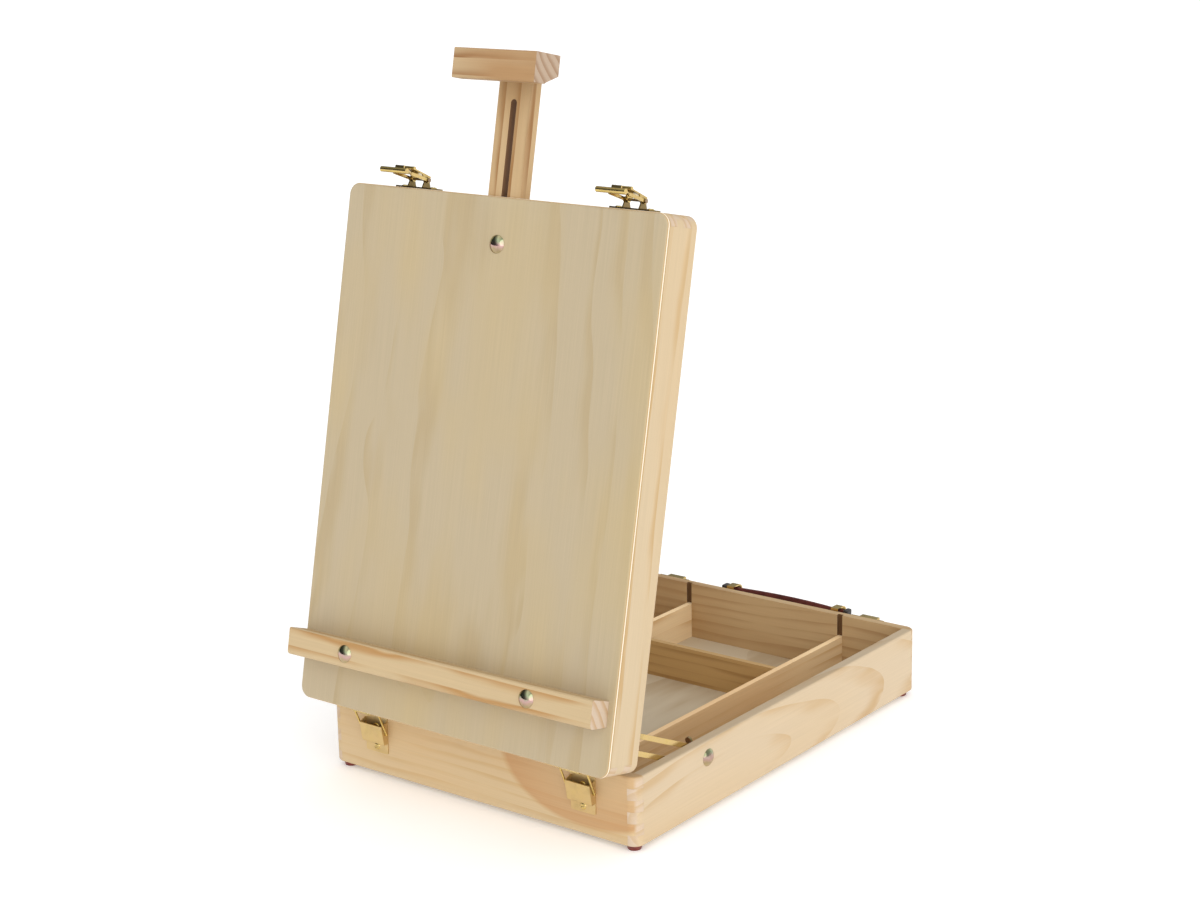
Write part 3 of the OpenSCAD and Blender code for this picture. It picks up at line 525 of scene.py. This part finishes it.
def screw_heads(name, node, outward, body):
    """Screws with cross recesses, in the places of a CAD node's plain screws."""
    outward = Vector(outward).normalized()
    turn = outward.to_track_quat("Z", "Y").to_matrix().to_4x4()
    mesh = bmesh.new()
    for count, points in enumerate(loose_solids(node)):
        middle = sum(points, Vector()) / len(points)
        heights = [(p - middle).dot(outward) for p in points]
        wide = max((p - middle - outward * h).length for p, h in zip(points, heights))
        tip = min(heights)
        under = max(heights) - SCREW_HEAD_H
        head = Matrix.Translation(middle + outward * under) @ turn @ Matrix.Rotation(0.7 * count, 4, "Z")
        cross_head(mesh, head, wide)
        shank = Matrix.Translation(middle + outward * (under + tip) / 2) @ turn
        bmesh.ops.create_cone(mesh, cap_ends=True, segments=20, radius1=SHANK_TIP_R, radius2=SHANK_TOP_R,
                              depth=under - tip, matrix=shank)
    bmesh.ops.recalc_face_normals(mesh, faces=mesh.faces)
    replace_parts(add_piece(name, mesh, GOLD, body), node)


def make_screws():
    up_the_lid = Matrix.Rotation(LID_OPEN, 3, "X") @ Vector((0, 1, 0))
    screw_heads("hinge_base_screw_heads", "hinge_base_screws", (0, -1, 0), "base")
    screw_heads("hinge_lid_screw_heads", "hinge_lid_screws", -up_the_lid, "lid")
    screw_heads("strike_screw_heads", "strike_screws", (0, 1, 0), "base")
    screw_heads("loop_screw_heads", "loop_screws", (0, 1, 0), "base")
    screw_heads("latch_screw_heads", "latch_base_screws", up_the_lid, "lid")


# the strap is a stitched band that passes the loops flat and bows out between them
STRAP_STRAIGHT = 57 * MM
STRAP_END = 67 * MM
STRAP_STAND = 8 * MM
STRAP_BOW = 4.5 * MM
STRAP_THICK = 3.6 * MM
STRAP_TALL = 22 * MM
STOP_SIZE = (5 * MM, 9 * MM, 24 * MM)
STOP_ROUND = 1.6 * MM
STOP_X = 69.9 * MM
STITCHES = 26
STITCH_R = 0.35 * MM
STITCH_LEN = 3.2 * MM
STITCH_STEP = 4.8 * MM
STITCH_INSET = 3 * MM
FIRST_STITCH = 6 * MM


def strap_offset(x):
    if abs(x) >= STRAP_STRAIGHT:
        return STRAP_STAND
    return STRAP_STAND + STRAP_BOW * (1 - (x / STRAP_STRAIGHT) ** 2)


def strap_middle():
    low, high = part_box("handle_strap")
    return Vector(((low.x + high.x) / 2, BOX_ORIGIN.y + BOX_L, (low.z + high.z) / 2))


def make_strap():
    middle = strap_middle()
    sides_round, lengthwise = 28, 90
    mesh = bmesh.new()
    rings = []
    for i in range(lengthwise + 1):
        x = STRAP_END * (2 * i / lengthwise - 1)
        ring = []
        for k in range(sides_round):
            angle = 2 * math.pi * k / sides_round
            # flat oval section with a raised padded core
            c, s = math.cos(angle), math.sin(angle)
            y = STRAP_THICK / 2 * math.copysign(abs(c) ** 0.7, c)
            z = STRAP_TALL / 2 * math.copysign(abs(s) ** 0.45, s)
            y *= 1 - 0.35 * (abs(z) / (STRAP_TALL / 2)) ** 3
            ring.append(mesh.verts.new(middle + Vector((x, strap_offset(x) + y, z))))
        rings.append(ring)
    for a, b in zip(rings, rings[1:]):
        for k in range(sides_round):
            after = (k + 1) % sides_round
            mesh.faces.new((a[k], a[after], b[after], b[k]))
    mesh.faces.new(rings[0])
    mesh.faces.new(rings[-1][::-1])
    bmesh.ops.recalc_face_normals(mesh, faces=mesh.faces)
    red = strap_leather("strap_red", srgb(66, 26, 24), srgb(112, 50, 44))
    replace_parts(add_piece("strap_band", mesh, red, "strap"), "handle_strap")


def make_stops():
    mesh = bmesh.new()
    for side in (-1, 1):
        place = Matrix.Translation(strap_middle() + Vector((side * STOP_X, STRAP_STAND, 0)))
        bmesh.ops.create_cube(mesh, size=1.0, matrix=place @ Matrix.Diagonal((*STOP_SIZE, 1)))
    bmesh.ops.bevel(mesh, geom=mesh.edges, offset=STOP_ROUND, segments=4, affect="EDGES", profile=0.6)
    black = strap_leather("strap_black", srgb(26, 22, 22), srgb(52, 46, 44))
    add_piece("strap_stops", mesh, black, "strap")


def make_stitches():
    lying = Matrix.Rotation(math.pi / 2, 4, "Y")
    mesh = bmesh.new()
    for row in (-1, 1):
        z = row * (STRAP_TALL / 2 - STITCH_INSET)
        for i in range(STITCHES):
            x = -STRAP_END + FIRST_STITCH + i * STITCH_STEP
            # most of the thread lies in the leather
            y = strap_offset(x) + 0.43 * STRAP_THICK
            place = Matrix.Translation(strap_middle() + Vector((x, y, z))) @ lying
            bmesh.ops.create_cone(mesh, cap_ends=True, segments=8, radius1=STITCH_R, radius2=STITCH_R,
                                  depth=STITCH_LEN, matrix=place)
    add_piece("strap_stitches", mesh, thread("strap_thread"), "strap")


# ---------- stage, light, camera ----------

def make_floor():
    reach = 12.0
    mesh = bmesh.new()
    corners = ((-reach, -reach), (reach, -reach), (reach, reach), (-reach, reach))
    mesh.faces.new([mesh.verts.new((x, y, 0)) for x, y in corners])
    add_object("floor", mesh, studio_floor("floor_white"), smooth=False)


def make_background(tree, source, direction, stops):
    """A background whose level follows the stops from behind a direction (0) to ahead of it (1)."""
    ahead = tree.nodes.new("ShaderNodeVectorMath")
    ahead.operation = "DOT_PRODUCT"
    ahead.inputs[1].default_value = Vector(direction).normalized()
    tree.links.new(source, ahead.inputs[0])
    span = tree.nodes.new("ShaderNodeMapRange")
    span.inputs["From Min"].default_value = -1.0
    tree.links.new(ahead.outputs["Value"], span.inputs["Value"])
    ramp = tree.nodes.new("ShaderNodeValToRGB")
    points = ramp.color_ramp.elements
    while len(points) < len(stops):
        points.new(0.5)
    for point, (place, level) in zip(points, stops):
        point.position = place
        point.color = rgba(level)
    tree.links.new(span.outputs[0], ramp.inputs[0])
    shader = tree.nodes.new("ShaderNodeBackground")
    tree.links.new(ramp.outputs[0], shader.inputs["Color"])
    return shader.outputs[0]


def make_world():
    """Even white light all round, with a darker left side in what polished metal mirrors."""
    world = bpy.data.worlds.new("studio")
    bpy.context.scene.world = world
    world.use_nodes = True
    tree = world.node_tree
    tree.nodes.clear()
    source = tree.nodes.new("ShaderNodeTexCoord").outputs["Generated"]
    even = make_background(tree, source, (0.8, -0.45, 0.1), ((0.0, 0.68), (0.5, 0.82), (1.0, 0.98)))
    mirrored = make_background(tree, source, (0.85, 0.1, 0.5), (
        (0.0, 0.02), (0.32, 0.08), (0.44, 0.45), (0.57, 1.3), (0.78, 0.8), (1.0, 0.45)))
    both = tree.nodes.new("ShaderNodeMixShader")
    tree.links.new(tree.nodes.new("ShaderNodeLightPath").outputs["Is Glossy Ray"], both.inputs[0])
    tree.links.new(even, both.inputs[1])
    tree.links.new(mirrored, both.inputs[2])
    output = tree.nodes.new("ShaderNodeOutputWorld")
    tree.links.new(both.outputs[0], output.inputs["Surface"])


def add_sun(name, source, power, spread, tone):
    """A very wide, soft light that reaches the whole floor alike."""
    data = bpy.data.lights.new(name, "SUN")
    data.energy = power
    data.angle = math.radians(spread)
    data.color = tone
    light = bpy.data.objects.new(name, data)
    light.rotation_euler = (-Vector(source)).to_track_quat("-Z", "Y").to_euler()
    bpy.context.scene.collection.objects.link(light)


def make_camera():
    """A camera that stands off the front right corner, a little above the lid."""
    stand = BOX_ORIGIN + Vector((1.35520, -1.37187, 0.78064))
    forward = Vector((-0.58945, 0.76650, -0.25500)).normalized()
    right = forward.cross(Vector((-0.14038, 0.21367, 0.96677))).normalized()
    up = right.cross(forward)
    data = bpy.data.cameras.new("camera")
    data.sensor_width = 36.0
    data.lens = 70.06
    data.clip_end = 50.0
    camera = bpy.data.objects.new("camera", data)
    turn = Matrix((right, up, -forward)).transposed().to_4x4()
    camera.matrix_world = Matrix.Translation(stand) @ turn
    bpy.context.scene.collection.objects.link(camera)
    bpy.context.scene.camera = camera


bpy.context.scene.view_settings.view_transform = "Standard"
make_camera()
make_floor()
make_world()
add_sun("key", source=(1.6, -1.25, 0.8), power=1.38, spread=70, tone=(1.0, 0.99, 0.97))
paint_box()
paint_lid()
paint_hardware()
make_screws()
make_strap()
make_stops()
make_stitches()
